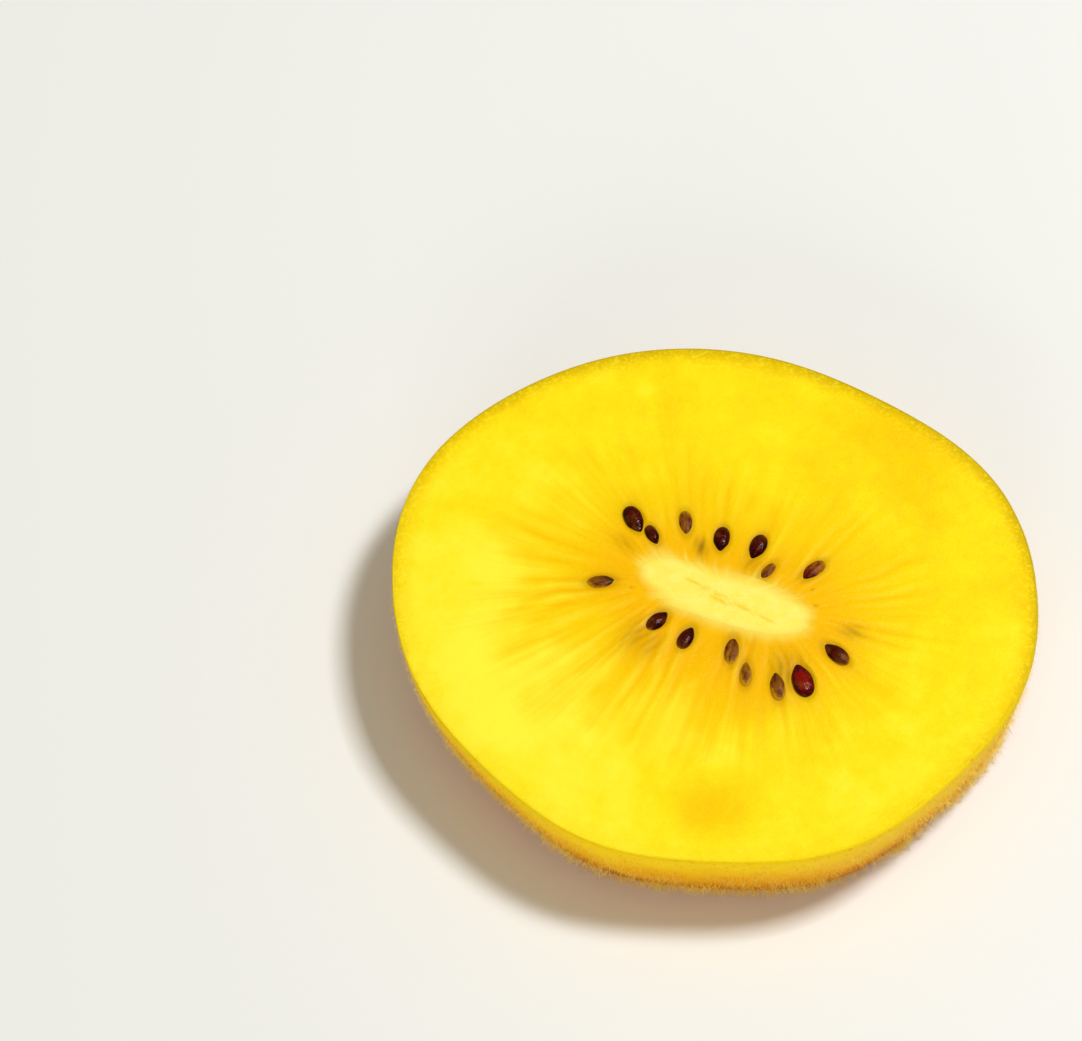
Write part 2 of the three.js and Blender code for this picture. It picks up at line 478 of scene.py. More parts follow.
def turned_from(bearing, centre):
    """Angle from a centre bearing in degrees, brought between minus and plus half a turn."""
    return np.mod(bearing - math.radians(centre) + math.pi, FULL_TURN) - math.pi


def ray_pattern(bearing, share, seed):
    """Rays of a cut face from -1 to 1: two cosines round the slice whose phases wander with
    smooth noise, mixed by a slow noise. Another noise makes some rays bolder and breaks them
    along their length."""
    turn = bearing / FULL_TURN
    rays = []
    for number, count in enumerate(RAY_COUNTS):
        wander = RAY_WANDER[0] * value_noise(turn, share, count * 3 // 4, 3, seed + 2 * number)
        finer = value_noise(turn, share, count * 2, 9, seed + 2 * number + 1)
        wander = wander + RAY_WANDER[1] * finer
        rays.append(np.cos(FULL_TURN * (count * turn + wander)))
    mix = smooth(value_noise(turn, share, 14, 2, seed + 5), -0.5, 0.5)
    bold = 0.7 + 0.45 * value_noise(turn, share, 54, 6, seed + 6)
    return bold * (rays[0] * (1 - 0.6 * mix) + rays[1] * (0.1 + 0.6 * mix)) / 1.05


def ray_swell(bearing, share):
    """Strength of the rays: it swells from the core's edge and dies away at RAY_REACH. Powers of
    the cosine make it greater round each bearing of RAY_BOLD."""
    swell = smooth(share, 0.0, 0.1) * (1 - smooth(share, 0.3, RAY_REACH))
    round_about = RAY_STRENGTH
    for centre, sharpness, boldness in RAY_BOLD:
        near = np.maximum(np.cos(turned_from(bearing, centre)), 0)
        round_about = round_about + boldness * near**sharpness
    return swell * round_about


def face_relief(bearing, share, points, seeds, seed):
    """Height of a cut face over its level, in millimetres: a shallow dip over the seed chambers,
    the rays, soft lumps, and a small pocket round each seed."""
    turn = bearing / FULL_TURN
    dip = CHAMBER_DIP * np.sin(math.pi * np.clip(share / RAY_REACH, 0, 1)) ** 2
    rays = RAY_RELIEF * ray_pattern(bearing, share, seed) * ray_swell(bearing, share)
    lumps = value_noise(turn, share, 60, 16, seed + 11)
    lumps = lumps + 0.5 * value_noise(turn, share, 150, 40, seed + 12)
    near = seed_nearness(points, seeds, POCKET_REACH, POCKET_COVERED_LOSS)
    pocket = POCKET_DEPTH * smooth(near, 0.1, 1.0)
    return rays - dip + LUMP_HEIGHT * lumps * smooth(share, 0.02, 0.15) - pocket


def face_grid(bearing, share, rim_height):
    """Plan points of a cut face: a straight blend from the core's edge to the skin, by share."""
    inner = core_edge(bearing)
    rim = wall_points(bearing, rim_height, SKIN_THICKNESS)[..., :2]
    return inner + (rim - inner) * share[..., None]


def core_distance(points):
    """Distance outside the core's outline, and minus it inside: the superellipse's value less
    one, over the length of that value's gradient."""
    across = np.abs(points[..., 0] - CORE_CENTRE[0]) / (CORE_LENGTH / 2)
    along = np.abs(points[..., 1] - CORE_CENTRE[1]) / (CORE_WIDTH / 2)
    value = (across**CORE_SQUARENESS + along**CORE_SQUARENESS) ** (1 / CORE_SQUARENESS)
    slope_x = (across / value) ** (CORE_SQUARENESS - 1) / (CORE_LENGTH / 2)
    slope_y = (along / value) ** (CORE_SQUARENESS - 1) / (CORE_WIDTH / 2)
    return (value - 1) / np.hypot(slope_x, slope_y)


def cream_share(bearing, points):
    """How cream the slice is, from 1 inside the core to 0 in the flesh: a smooth step over the
    distance from the core's outline. A bell for each entry of CREAM_LOBES moves it out or in, and
    squared noise draws it out into fibres, most on the core's far side."""
    turn = bearing / FULL_TURN
    along = 0 * points[..., 0]
    spikes = np.maximum(value_noise(turn, along, 110, 1, CREAM_DRAW), 0) ** 2
    spikes = spikes + 0.7 * np.maximum(value_noise(turn, along, 230, 1, CREAM_DRAW + 1), 0) ** 2
    far_side = 0.25 + 0.75 * smooth(np.sin(bearing), 0.1, 0.8)
    fibres = 0.2 * value_noise(turn, along, 40, 1, CREAM_DRAW + 2) + 1.1 * far_side * spikes
    reach = sum(
        size * np.exp(-((turned_from(bearing, centre) / math.radians(breadth)) ** 2))
        for centre, breadth, size in CREAM_LOBES
    )
    return 1 - smooth(core_distance(points) - reach, CREAM_FEATHER[0], CREAM_FEATHER[1] + fibres)


def fan_field(bearing, share):
    """The bearing's cosine and sine, and a share or level, as one vector for each point."""
    return np.stack([np.cos(bearing) + 0 * share, np.sin(bearing) + 0 * share, share], -1)


def face_fields(bearing, share, points, seeds, hidden, seed):
    """Colour guides of a cut face: the fan of bearing and share, the rays, the darkening by
    seeds, partly their tint and partly painted shade, the cream feathering beside the core, the
    distance in from the skin, and the toned patches."""
    return {
        "fan": fan_field(bearing, share),
        "ray": ray_pattern(bearing, share, seed) * ray_swell(bearing, share),
        "seed_shade_and_tint": seed_shade_and_tint(points, seeds, hidden),
        "cream": cream_share(bearing, points),
        "rim_away": rim_distance(points),
        "patch": patch_tone(points),
    }


def make_flesh():
    """Flesh as a closed ring: up the wall, in across the upper face, down beside the core and out
    across the underside. Rows crowd towards the core, where the seeds and rays are finest."""
    bearing = round_turn(STEPS_ROUND)[None, :]
    wall_height = np.array((CUT_ROW, FACE_HEIGHT / 2, FACE_HEIGHT - CUT_ROW))[:, None]
    wall = wall_points(bearing, wall_height, SKIN_THICKNESS + WALL_CLEARANCE)
    upper_share = np.linspace(1, 0, UPPER_ROWS)[:, None] ** 1.25 + 0 * bearing
    upper = np.empty((UPPER_ROWS, STEPS_ROUND, 3))
    upper[..., :2] = face_grid(bearing, upper_share, FACE_HEIGHT)
    upper_relief = face_relief(bearing, upper_share, upper, FACE_SEEDS, UPPER_FACE_DRAW)
    upper[..., 2] = FACE_HEIGHT + upper_relief
    under_share = np.linspace(0, 1, UNDER_ROWS)[:, None] ** 0.8 + 0 * bearing
    under = np.empty((UNDER_ROWS, STEPS_ROUND, 3))
    under[..., :2] = face_grid(bearing, under_share, 0.0)
    below = under_seeds()
    under_relief = face_relief(bearing, under_share, under, below, UNDER_FACE_DRAW)
    under[..., 2] = np.maximum(UNDER_RECESS - 0.5 * under_relief, 0)

    upper_fields = face_fields(
        bearing, upper_share, upper, FACE_SEEDS, HIDDEN_SEEDS, UPPER_FACE_DRAW
    )
    under_fields = face_fields(
        bearing, under_share, under, below, HIDDEN_SEEDS[:2], UNDER_FACE_DRAW
    )
    fields = {}
    for key, upper_values in upper_fields.items():
        wall_values = np.repeat(upper_values[:1], len(wall), 0)
        fields[key] = np.concatenate([wall_values, upper_values, under_fields[key]])
    return loft("slice_flesh", np.concatenate([wall, upper, under]), fields)


def rim_distance(points):
    """Distance in from the skin's outside at a point's own height, in millimetres."""
    bearing = np.arctan2(points[..., 1], points[..., 0])
    radius = np.hypot(points[..., 0], points[..., 1])
    level = np.where(points[..., 2] > FACE_HEIGHT / 2, FACE_HEIGHT, 0.0)
    return outline_radius(bearing) - wall_inset(bearing, level) - radius


def patch_tone(points):
    """Sum of the toned patches, each a bell over its radius times its tone."""
    tone = np.zeros(points.shape[:-1])
    for x, y, radius, strength in FACE_PATCHES:
        away = np.hypot(points[..., 0] - x, points[..., 1] - y)
        tone = tone + strength * np.exp(-((away / radius) ** 2))
    return tone


def seed_shade_and_tint(points, seeds, hidden):
    """How far seeds darken the flesh: a narrow halo and a faint wide one round the open ones,
    partly the flesh's tint there and partly painted shade, and over a hidden one, seen through the
    flesh, a bell of its elliptical radius, broken up by streaks along it."""
    tint = sum(
        strength * smooth(seed_nearness(points, seeds, reach), 0.0, 1.0)
        for reach, strength in SEED_HALOS
    )
    frames = seed_frames([(*seed[:3], 0, 0) for seed in hidden])
    for (centre, outward, length, width, _, _), seed in zip(frames, hidden):
        along, across = along_and_across(points, centre, outward)
        oval = np.hypot(along / (length / 2), across / (width / 2))
        streaks = 0.8 + 0.2 * np.sin(9 * across + 2 * np.sin(1.7 * along) + outward)
        tint = np.maximum(tint, seed[3] * streaks * np.exp(-0.8 * oval**2))
    return tint


def fold_mark(points):
    """How deeply the core is marked, from 0 to 1: a channel along the fold, a bell across a
    wavering line that fades at both ends and is broken by noise, a thin line along one edge of the
    fold that is painted shadow pressed in as a shallow groove, and a bell over the elliptical
    radius of each pit."""
    turn = math.radians(FOLD_TURN)
    along, across = along_and_across(points, FOLD_CENTRE, turn)
    line = across + 0.08 * np.sin(1.9 * along + 1) + 0.04 * np.sin(5.1 * along)
    broken = value_noise(along / 12 + 0.5, across / 3 + 0.5, 34, 12, FOLD_DRAW)
    ends = 1 - smooth(np.abs(along), 0.3 * FOLD_LENGTH, 0.55 * FOLD_LENGTH)
    mark = np.exp(-((line / FOLD_BREADTH * 2) ** 2)) * ends * (0.42 + 0.3 * broken)
    # Painted shadow: a thin dark line along one edge of the fold.
    rim = np.exp(-(((line + 0.95 * FOLD_BREADTH) / 0.09) ** 2)) * ends * smooth(broken, -0.6, 0.8)
    mark = np.maximum(mark, 0.35 * rim)
    for x, y, length, breadth in CORE_PITS:
        along, across = along_and_across(points, (x, y), turn)
        ragged = 0.82 + 0.18 * value_noise(along / 6 + 0.5, across / 3 + 0.5, 40, 9, PIT_DRAW)
        bell = np.exp(-((along / length * 2) ** 2) - (across / breadth * 2) ** 2)
        mark = np.maximum(mark, ragged * bell)
    return mark


def make_core():
    """Core plug with a cut face at each end. Each face is the core's outline drawn in to its
    centre, with fine fibrous lumps and the fold pressed into it."""
    bearing = round_turn(CORE_STEPS)[None, :]
    share = np.linspace(0.02, 1, CORE_ROWS)[:, None] + 0 * bearing
    plan = CORE_CENTRE + (core_edge(bearing) - CORE_CENTRE) * share[..., None]
    turn = bearing / FULL_TURN
    fibre = value_noise(turn, share, 70, 12, CORE_DRAW)
    fibre = fibre + 0.6 * value_noise(turn, share, 26, 20, CORE_DRAW + 1)
    fold = fold_mark(plan)
    relief = CORE_FIBRE * fibre * (1 - share**6) - FOLD_DEPTH * fold
    crown = CORE_CROWN * (1 - share**2) ** 2
    upper = np.concatenate([plan, (FACE_HEIGHT + relief + crown)[..., None]], -1)
    under = np.concatenate([plan, np.maximum(UNDER_RECESS - relief, 0)[..., None]], -1)
    side = np.empty((2, CORE_STEPS, 3))
    side[..., :2] = core_edge(bearing, -WALL_CLEARANCE)
    side[..., 2] = np.array((CUT_ROW, FACE_HEIGHT - CUT_ROW))[:, None]
    grid = np.concatenate([under, side, upper[::-1]])
    face = {
        "fan": fan_field(bearing, share),
        "fold": fold,
        "cream": cream_share(bearing, plan),
    }
    fields = {}
    for key, values in face.items():
        fields[key] = np.concatenate([values, values[-1:], values[-1:], values[::-1]])
    return loft("slice_core", grid, fields, capped=True)


def skin_bumps(bearing, height):
    """Low uneven lumps of the skin, in millimetres."""
    turn = bearing / FULL_TURN
    share = height / FACE_HEIGHT
    lumps = SKIN_BUMPS[0] * value_noise(turn, share, 70, 6, SKIN_DRAW)
    return lumps + SKIN_BUMPS[1] * value_noise(turn, share, 260, 18, SKIN_DRAW + 1)


def make_skin():
    """Skin as a thin closed ring: up the outside with its lumps, over a narrow rounded cut edge
    and down the inside. The outside draws in by the square of the height within EDGE_ROUND of a
    cut edge."""
    bearing = round_turn(STEPS_ROUND)[None, :]
    swing = np.linspace(0, math.pi, SKIN_ROWS)[:, None]
    height = FACE_HEIGHT * (0.5 - 0.5 * np.cos(swing)) * 0.4 + FACE_HEIGHT * swing / math.pi * 0.6
    near_cut = np.minimum(height, FACE_HEIGHT - height)
    rounding = EDGE_INSET * np.clip(1 - near_cut / EDGE_ROUND, 0, 1) ** 2
    fading = smooth(near_cut, 0, 0.5)
    outer = wall_points(bearing, height, rounding - skin_bumps(bearing, height) * fading)
    inner_height = (FACE_HEIGHT, FACE_HEIGHT - CUT_ROW, FACE_HEIGHT / 2, CUT_ROW, 0)
    inner = wall_points(bearing, np.array(inner_height)[:, None], SKIN_THICKNESS)
    grid = np.concatenate([outer, inner])
    outside = np.concatenate([np.ones(outer.shape[:2]), np.zeros(inner.shape[:2])])
    fields = {"fan": fan_field(bearing, grid[..., 2] / FACE_HEIGHT), "outside": outside}
    return loft("slice_skin", grid, fields)


def make_hairs():
    """Short tapered hairs rooted in the skin. Each is a three-sided spine of three rings and a tip,
    whose bend grows by the square of the way along it. Roots, lengths, leans and bends are seeded
    draws. Hairs are longer and closer low on the wall, and sparser in patches of noise."""
    draw = np.random.default_rng(HAIR_DRAW)
    bearing = draw.uniform(0, FULL_TURN, HAIR_COUNT * 3)
    level = 0.01 + 0.95 * draw.uniform(0, 1, HAIR_COUNT * 3) ** 1.7
    patch = value_noise(bearing / FULL_TURN, level, 48, 4, HAIR_PATCH_DRAW) - 0.3 * level
    kept = np.flatnonzero(draw.uniform(-1.1, 1.0, HAIR_COUNT * 3) < patch)[:HAIR_COUNT]
    bearing, level = bearing[kept], level[kept]
    height = level * FACE_HEIGHT
    count = len(kept)
    root = wall_points(bearing, height, HAIR_ROOT)
    step = 1e-3
    round_way = wall_points(bearing + step, height, HAIR_ROOT) - root
    up_way = wall_points(bearing, height + step, HAIR_ROOT) - root
    round_way /= np.linalg.norm(round_way, axis=-1, keepdims=True)
    up_way /= np.linalg.norm(up_way, axis=-1, keepdims=True)
    out_way = np.cross(round_way, up_way)
    length = HAIR_LENGTH[0] + HAIR_LENGTH[1] * draw.beta(1.5, 2.8, count)
    length = length * (HAIR_SHORTENS[0] - HAIR_SHORTENS[1] * level)
    lean = draw.normal(0, 0.55, count)
    droop = draw.uniform(-0.7, 0.1, count) * (0.5 + level)
    way = out_way + round_way * lean[:, None] + up_way * droop[:, None]
    way /= np.linalg.norm(way, axis=-1, keepdims=True)
    bend = round_way * draw.normal(0, 0.45, count)[:, None]
    bend = bend + up_way * draw.normal(-0.25, 0.35, count)[:, None]
    side = np.cross(way, bend + 1e-3 * up_way)
    side /= np.linalg.norm(side, axis=-1, keepdims=True)
    other = np.cross(way, side)
    thick = draw.uniform(*HAIR_THICKNESS, count)[:, None, None, None]
    taper = np.array(HAIR_TAPER)[:, None, None]
    turn = (np.array([0, 2, 4]) * math.pi / 3)[:, None]
    at = np.array(HAIR_STATIONS)[:, None]
    spine = root[:, None] + length[:, None, None] * (way[:, None] * at + bend[:, None] * at**2)
    offset = side[:, None, None] * np.cos(turn) + other[:, None, None] * np.sin(turn)
    rings = spine[:, :, None] + offset * thick * taper
    tip = root + length[:, None] * (way + bend)
    points = np.concatenate([rings.reshape(count, 9, 3), tip[:, None]], 1)
    points[..., 2] = np.clip(points[..., 2], 0.01, FACE_HEIGHT + 0.1)
    quads = loop_faces(3, 3, False)
    triangles = np.array([[2, 1, 0], [6, 7, 9], [7, 8, 9], [8, 6, 9]])
    base = (np.arange(count) * points.shape[1])[:, None, None]
    faces = (quads + base).reshape(-1, 4).tolist() + (triangles + base).reshape(-1, 3).tolist()
    tone = np.repeat(draw.uniform(0, 1, count), points.shape[1])
    along = np.tile(np.append(np.repeat(HAIR_STATIONS, 3), 1.0), count)
    return make_mesh("slice_hair", points.reshape(-1, 3), faces, {"tone": tone, "along": along})


# ---------------- node helpers

def tree_of(*values):
    """Node tree of the first socket among some values."""
    return next(value.id_data for value in values if isinstance(value, bpy.types.NodeSocket))


def feed(made, inputs):
    """Gives each named input of a node a fixed value, or a link from another socket."""
    for key, value in inputs.items():
        if isinstance(value, bpy.types.NodeSocket):
            made.id_data.links.new(value, made.inputs[key])
        else:
            made.inputs[key].default_value = value


def node(tree, kind, inputs=None, **settings):
    """Adds a node, applies its settings and feeds its inputs."""
    made = tree.nodes.new(kind)
    for key, value in settings.items():
        setattr(made, key, value)
    feed(made, inputs or {})
    return made


def attribute(tree, name, output="Fac"):
    """Socket of a mesh attribute."""
    return node(tree, "ShaderNodeAttribute", attribute_name=name).outputs[output]


def maths(operation, a, b):
    """Socket of a sum, a difference or a product."""
    return node(tree_of(a, b), "ShaderNodeMath", {0: a, 1: b}, operation=operation).outputs[0]


def plus(a, b):
    """Socket of a + b."""
    return maths("ADD", a, b)


def less(a, b):
    """Socket of a - b."""
    return maths("SUBTRACT", a, b)


def times(a, b):
    """Socket of a * b."""
    return maths("MULTIPLY", a, b)


def fade(value, low, high, start=0.0, end=1.0):
    """Smooth step of a value from low to high, put out between start and end."""
    inputs = {"Value": value, "From Min": low, "From Max": high, "To Min": start, "To Max": end}
    made = node(tree_of(value), "ShaderNodeMapRange", inputs, interpolation_type="SMOOTHSTEP")
    return made.outputs[0]


def blend(factor, a, b):
    """Colour socket that mixes colour b into colour a."""
    inputs = {0: factor, 6: a, 7: b}
    return node(tree_of(factor), "ShaderNodeMix", inputs, data_type="RGBA").outputs[2]


def noise(vector, scale, detail, roughness):
    """Noise value socket, from 0 to 1 round a mean of a half."""
    inputs = {"Vector": vector, "Scale": scale, "Detail": detail, "Roughness": roughness}
    return node(tree_of(vector), "ShaderNodeTexNoise", inputs).outputs["Fac"]


def millimetres(tree):
    """Object coordinates in millimetres."""
    inputs = {0: node(tree, "ShaderNodeTexCoord").outputs["Object"], "Scale": 1 / MM}
    return node(tree, "ShaderNodeVectorMath", inputs, operation="SCALE").outputs[0]


def weighed(value, weight):
    """A noise value taken round zero and scaled by a weight."""
    return times(less(value, 0.5), weight)


def stretched(vector, scale):
    """A vector with each part scaled on its own."""
    inputs = {0: vector, 1: scale}
    return node(tree_of(vector), "ShaderNodeVectorMath", inputs, operation="MULTIPLY").outputs[0]


def linear(red, green, blue):
    """Colour from screen values of 0 to 255."""
    parts = [value / 255 for value in (red, green, blue)]
    return (*[v / 12.92 if v <= 0.04045 else ((v + 0.055) / 1.055) ** 2.4 for v in parts], 1.0)


def new_group(name, vector, numbers, outputs):
    """Shader node group that takes one vector and some numbers, and puts out numbers. Returns it
    with the sockets that it is given and the node that it ends in."""
    group = bpy.data.node_groups.new(name, "ShaderNodeTree")
    group.interface.new_socket(vector, in_out="INPUT", socket_type="NodeSocketVector")
    for side, labels in (("INPUT", numbers), ("OUTPUT", outputs)):
        for label in labels:
            group.interface.new_socket(label, in_out=side, socket_type="NodeSocketFloat")
    given = group.nodes.new("NodeGroupInput").outputs[:len(numbers) + 1]
    return group, given, group.nodes.new("NodeGroupOutput")


def thread_group():
    """Threads that fan out from the core: noise on the bearing's cosine and sine, drawn out along
    the ray."""
    group, given, end = new_group("fan threads", "Fan", ["Fineness", "Along"], ["Threads"])
    fan, fineness, along = given
    scale = node(group, "ShaderNodeCombineXYZ", {0: fineness, 1: fineness, 2: along}).outputs[0]
    feed(end, {"Threads": noise(stretched(fan, scale), 1.0, 2.0, 0.55)})
    return group


def mottle_group():
    """Soft cloudy mottling: broad clouds and smaller blotches, each from 0 to 1 round a half."""
    numbers = ["Clouds per mm", "Blotches per mm"]
    group, given, end = new_group("soft mottling", "Place", numbers, ["Clouds", "Blotches"])
    place, clouds_per_mm, blotches_per_mm = given
    clouds = noise(place, clouds_per_mm, 2.0, 0.5)
    feed(end, {"Clouds": clouds, "Blotches": noise(place, blotches_per_mm, 3.0, 0.6)})
    return group


def grain_group():
    """Fine surface grain as a height from 0 to 1: rounded bumps with finer ones over them."""
    numbers = ["Grains per mm", "Roughness"]
    group, given, end = new_group("fine grain", "Place", numbers, ["Height"])
    place, grains_per_mm, roughness = given
    feed(end, {"Height": noise(place, grains_per_mm, 2.0, roughness)})
    return group


THREADS = thread_group()
MOTTLING = mottle_group()
GRAIN = grain_group()


def threads_of(fan, fineness, along):
    """Socket of the fan's threads."""
    inputs = {"Fan": fan, "Fineness": fineness, "Along": along}
    made = node(tree_of(fan), "ShaderNodeGroup", inputs, node_tree=THREADS)
    return made.outputs["Threads"]


def mottling_of(place, clouds_per_mm, blotches_per_mm):
    """Sockets of the clouds and the blotches at a place."""
    inputs = {"Place": place, "Clouds per mm": clouds_per_mm, "Blotches per mm": blotches_per_mm}
    made = node(tree_of(place), "ShaderNodeGroup", inputs, node_tree=MOTTLING)
    return made.outputs["Clouds"], made.outputs["Blotches"]


def grain_of(place, grains_per_mm, roughness):
    """Socket of the grain's height at a place."""
    inputs = {"Place": place, "Grains per mm": grains_per_mm, "Roughness": roughness}
    made = node(tree_of(place), "ShaderNodeGroup", inputs, node_tree=GRAIN)
    return made.outputs["Height"]


def new_material(name):
    """Material with an empty tree. Returns it with its tree and its Principled BSDF."""
    material = bpy.data.materials.new(name)
    material.use_nodes = True
    tree = material.node_tree
    tree.nodes.clear()
    shader = tree.nodes.new("ShaderNodeBsdfPrincipled")
    end = tree.nodes.new("ShaderNodeOutputMaterial")
    tree.links.new(shader.outputs[0], end.inputs["Surface"])
    return material, tree, shader


def bump(height, distance):
    """Normal socket of a height, times a distance in millimetres."""
    inputs = {"Height": height, "Distance": distance * MM}
    return node(tree_of(height), "ShaderNodeBump", inputs).outputs[0]


# ---------------- colours

# Flesh
PALE_YELLOW = linear(254, 243, 62)
YELLOW = linear(252, 231, 20)
DEEP_YELLOW = linear(250, 204, 0)
CHAMBER_GOLD = linear(252, 211, 5)
CHAMBER_ORANGE = linear(250, 190, 0)
# The two ray colours follow the relief: partly the flesh's own tone, partly painted highlight on
# ridges and painted shade in valleys.
RAY_VALLEY_TONE_AND_SHADE = linear(248, 176, 0)
RAY_RIDGE_TONE_AND_HIGHLIGHT = linear(254, 230, 60)
THREAD_LIGHT = linear(252, 220, 34)
THREAD_DARK = linear(243, 172, 0)
FLESH_CREAM = linear(254, 237, 106)
RIM_GOLD = linear(250, 208, 0)
RIM_OLIVE = linear(190, 162, 0)
RIM_SPECKLE = linear(255, 240, 50)
SEED_SHADE_AND_TINT = linear(146, 100, 0)

# Core
CORE_CREAM = linear(253, 234, 96)
CORE_PALE = linear(254, 239, 114)
CORE_THREAD = linear(254, 243, 132)
CORE_FOLD = linear(248, 206, 22)

# Skin
# The lowest skin colour is partly painted shade near the table, and the top one is painted light
# through the flesh.
SKIN_BROWN_AND_SHADE = linear(182, 84, 0)
SKIN_TAN = linear(242, 178, 0)
SKIN_LIT_YELLOW = linear(255, 212, 0)
SKIN_BLOTCH = linear(222, 150, 0)
SKIN_GRAIN = linear(250, 206, 20)
SKIN_SPOT = linear(222, 106, 14)
SKIN_OLIVE = linear(188, 160, 0)
CUT_YELLOW = linear(255, 232, 24)
CUT_OLIVE = linear(184, 154, 0)

# Seeds, and the film of flesh over some of them
# The coat's darker and lighter colours are mixed by painted shade at a seed's edge and painted
# light on its crown.
COAT_BLACK = linear(38, 0, 0)
COAT_BROWN = linear(68, 7, 0)
COAT_DARK_RED = linear(66, 2, 2)
COAT_RED = linear(128, 13, 5)
COAT_CLOUD = linear(122, 62, 16)
FILM_DARK = linear(88, 32, 2)
FILM_BROWN = linear(128, 72, 6)
FILM_PALE = linear(158, 102, 16)
FILM_EDGE = linear(196, 142, 0)

# Hairs
HAIR_GOLD = linear(238, 178, 20)
HAIR_STRAW = linear(255, 212, 74)
HAIR_TIP = linear(255, 228, 120)


# ---------------- materials

def flesh_material():
    """Wet yellow flesh: lemon yellow outside, orange-yellow with rays over the seed chambers, their
    ridges and valleys partly their own tone and partly painted highlight and shade, and cream
    against the core. Along the rim it turns gold, and olive on the +Y side, with fine pale
    speckles. Seeds dull the flesh about them, partly with painted shade."""
    material, tree, shader = new_material("kiwi flesh")
    place = millimetres(tree)
    fan = attribute(tree, "fan", "Vector")
    east, north, share = node(tree, "ShaderNodeSeparateXYZ", {0: fan}).outputs
    threads = threads_of(fan, 24.0, 0.8)
    clouds, blotches = mottling_of(place, 0.2, 0.75)
    grain = grain_of(place, 4.0, 0.6)
    ray = attribute(tree, "ray")
    patch = attribute(tree, "patch")

    pale = plus(weighed(clouds, 0.55), weighed(blotches, 0.38))
    pale = plus(pale, times(patch, 0.3))
    deep_side = plus(times(east, 0.06), times(north, 0.11))
    pale = less(plus(pale, 0.06), deep_side)
    outer = blend(fade(pale, -0.42, 0.16), DEEP_YELLOW, YELLOW)
    outer = blend(fade(pale, 0.0, 0.4), outer, PALE_YELLOW)

    depth = plus(plus(share, times(north, 0.06)), times(patch, 0.12))
    inner = blend(fade(depth, 0.06, 0.4), CHAMBER_ORANGE, CHAMBER_GOLD)
    # Painted highlight and shade with the rays' own tone: darker in the relief's valleys, paler on
    # its ridges.
    inner = blend(fade(ray, 0.0, -0.6, 0.0, 0.5), inner, RAY_VALLEY_TONE_AND_SHADE)
    inner = blend(fade(ray, 0.05, 0.65, 0.0, 0.5), inner, RAY_RIDGE_TONE_AND_HIGHLIGHT)
    inner = blend(fade(threads, 0.48, 0.72, 0.0, 0.12), inner, THREAD_LIGHT)
    inner = blend(fade(threads, 0.5, 0.3, 0.0, 0.08), inner, THREAD_DARK)

    ragged = plus(share, weighed(threads, 0.35))
    ragged = plus(ragged, weighed(clouds, 0.5))
    ragged = plus(ragged, times(ray, 0.16))
    ragged = plus(ragged, times(north, 0.05))
    ragged = plus(ragged, times(east, 0.03))
    colour = blend(fade(ragged, 0.22, 0.7), inner, outer)
    cream = blend(attribute(tree, "cream"), colour, FLESH_CREAM)

    away = plus(attribute(tree, "rim_away"), weighed(blotches, 1.0))
    away = plus(away, weighed(grain, 0.8))
    golden = times(fade(away, 2.2, 0.1), fade(north, -0.9, 0.2, 0.3, 0.85))
    colour = blend(golden, cream, RIM_GOLD)
    width = plus(times(north, 0.8), 1.0)
    olive = times(fade(away, width, -0.3), fade(north, -0.6, 0.4, 0.3, 0.75))
    colour = blend(olive, colour, RIM_OLIVE)
    speckle = times(fade(grain, 0.5, 0.68), fade(away, 3.5, 0.3, 0.08, 0.35))
    colour = blend(speckle, colour, RIM_SPECKLE)
    # Painted shade and tint round open seeds, and the tint of hidden seeds seen through the flesh.
    colour = blend(attribute(tree, "seed_shade_and_tint"), colour, SEED_SHADE_AND_TINT)

    feed(shader, {
        "Base Color": colour,
        "Roughness": fade(blotches, 0.35, 0.65, 0.42, 0.3),
        "Subsurface Weight": 0.25,
        "Subsurface Radius": (1.0, 0.7, 0.1),
        "Subsurface Scale": 0.0002,
        "Specular IOR Level": 0.07,
        "Normal": bump(plus(times(grain, 0.5), blotches), 0.05),
    })
    return material


def core_material():
    """Pale cream core with a deeper fold, a thin painted shadow line along one edge of it, and
    faint fibres.
    """
    material, tree, shader = new_material("kiwi core")
    place = millimetres(tree)
    fan = attribute(tree, "fan", "Vector")
    threads = threads_of(fan, 14.0, 2.0)
    _, blotches = mottling_of(place, 0.22, 0.9)
    grain = grain_of(place, 5.0, 0.6)
    cream = blend(fade(blotches, 0.35, 0.65), CORE_CREAM, CORE_PALE)
    cream = blend(fade(threads, 0.5, 0.68, 0.0, 0.15), cream, CORE_THREAD)
    # The fold's mark deepens the cream, with painted shadow along one edge of it.
    deep = fade(attribute(tree, "fold"), 0.08, 0.95, 0.0, 0.85)
    colour = blend(deep, cream, CORE_FOLD)
    colour = blend(attribute(tree, "cream"), CHAMBER_ORANGE, colour)
    feed(shader, {
        "Base Color": colour,
        "Roughness": 0.42,
        "Subsurface Weight": 0.25,
        "Subsurface Radius": (1.0, 0.8, 0.25),
        "Subsurface Scale": 0.0002,
        "Specular IOR Level": 0.1,
        "Normal": bump(grain, 0.03),
    })
    return material


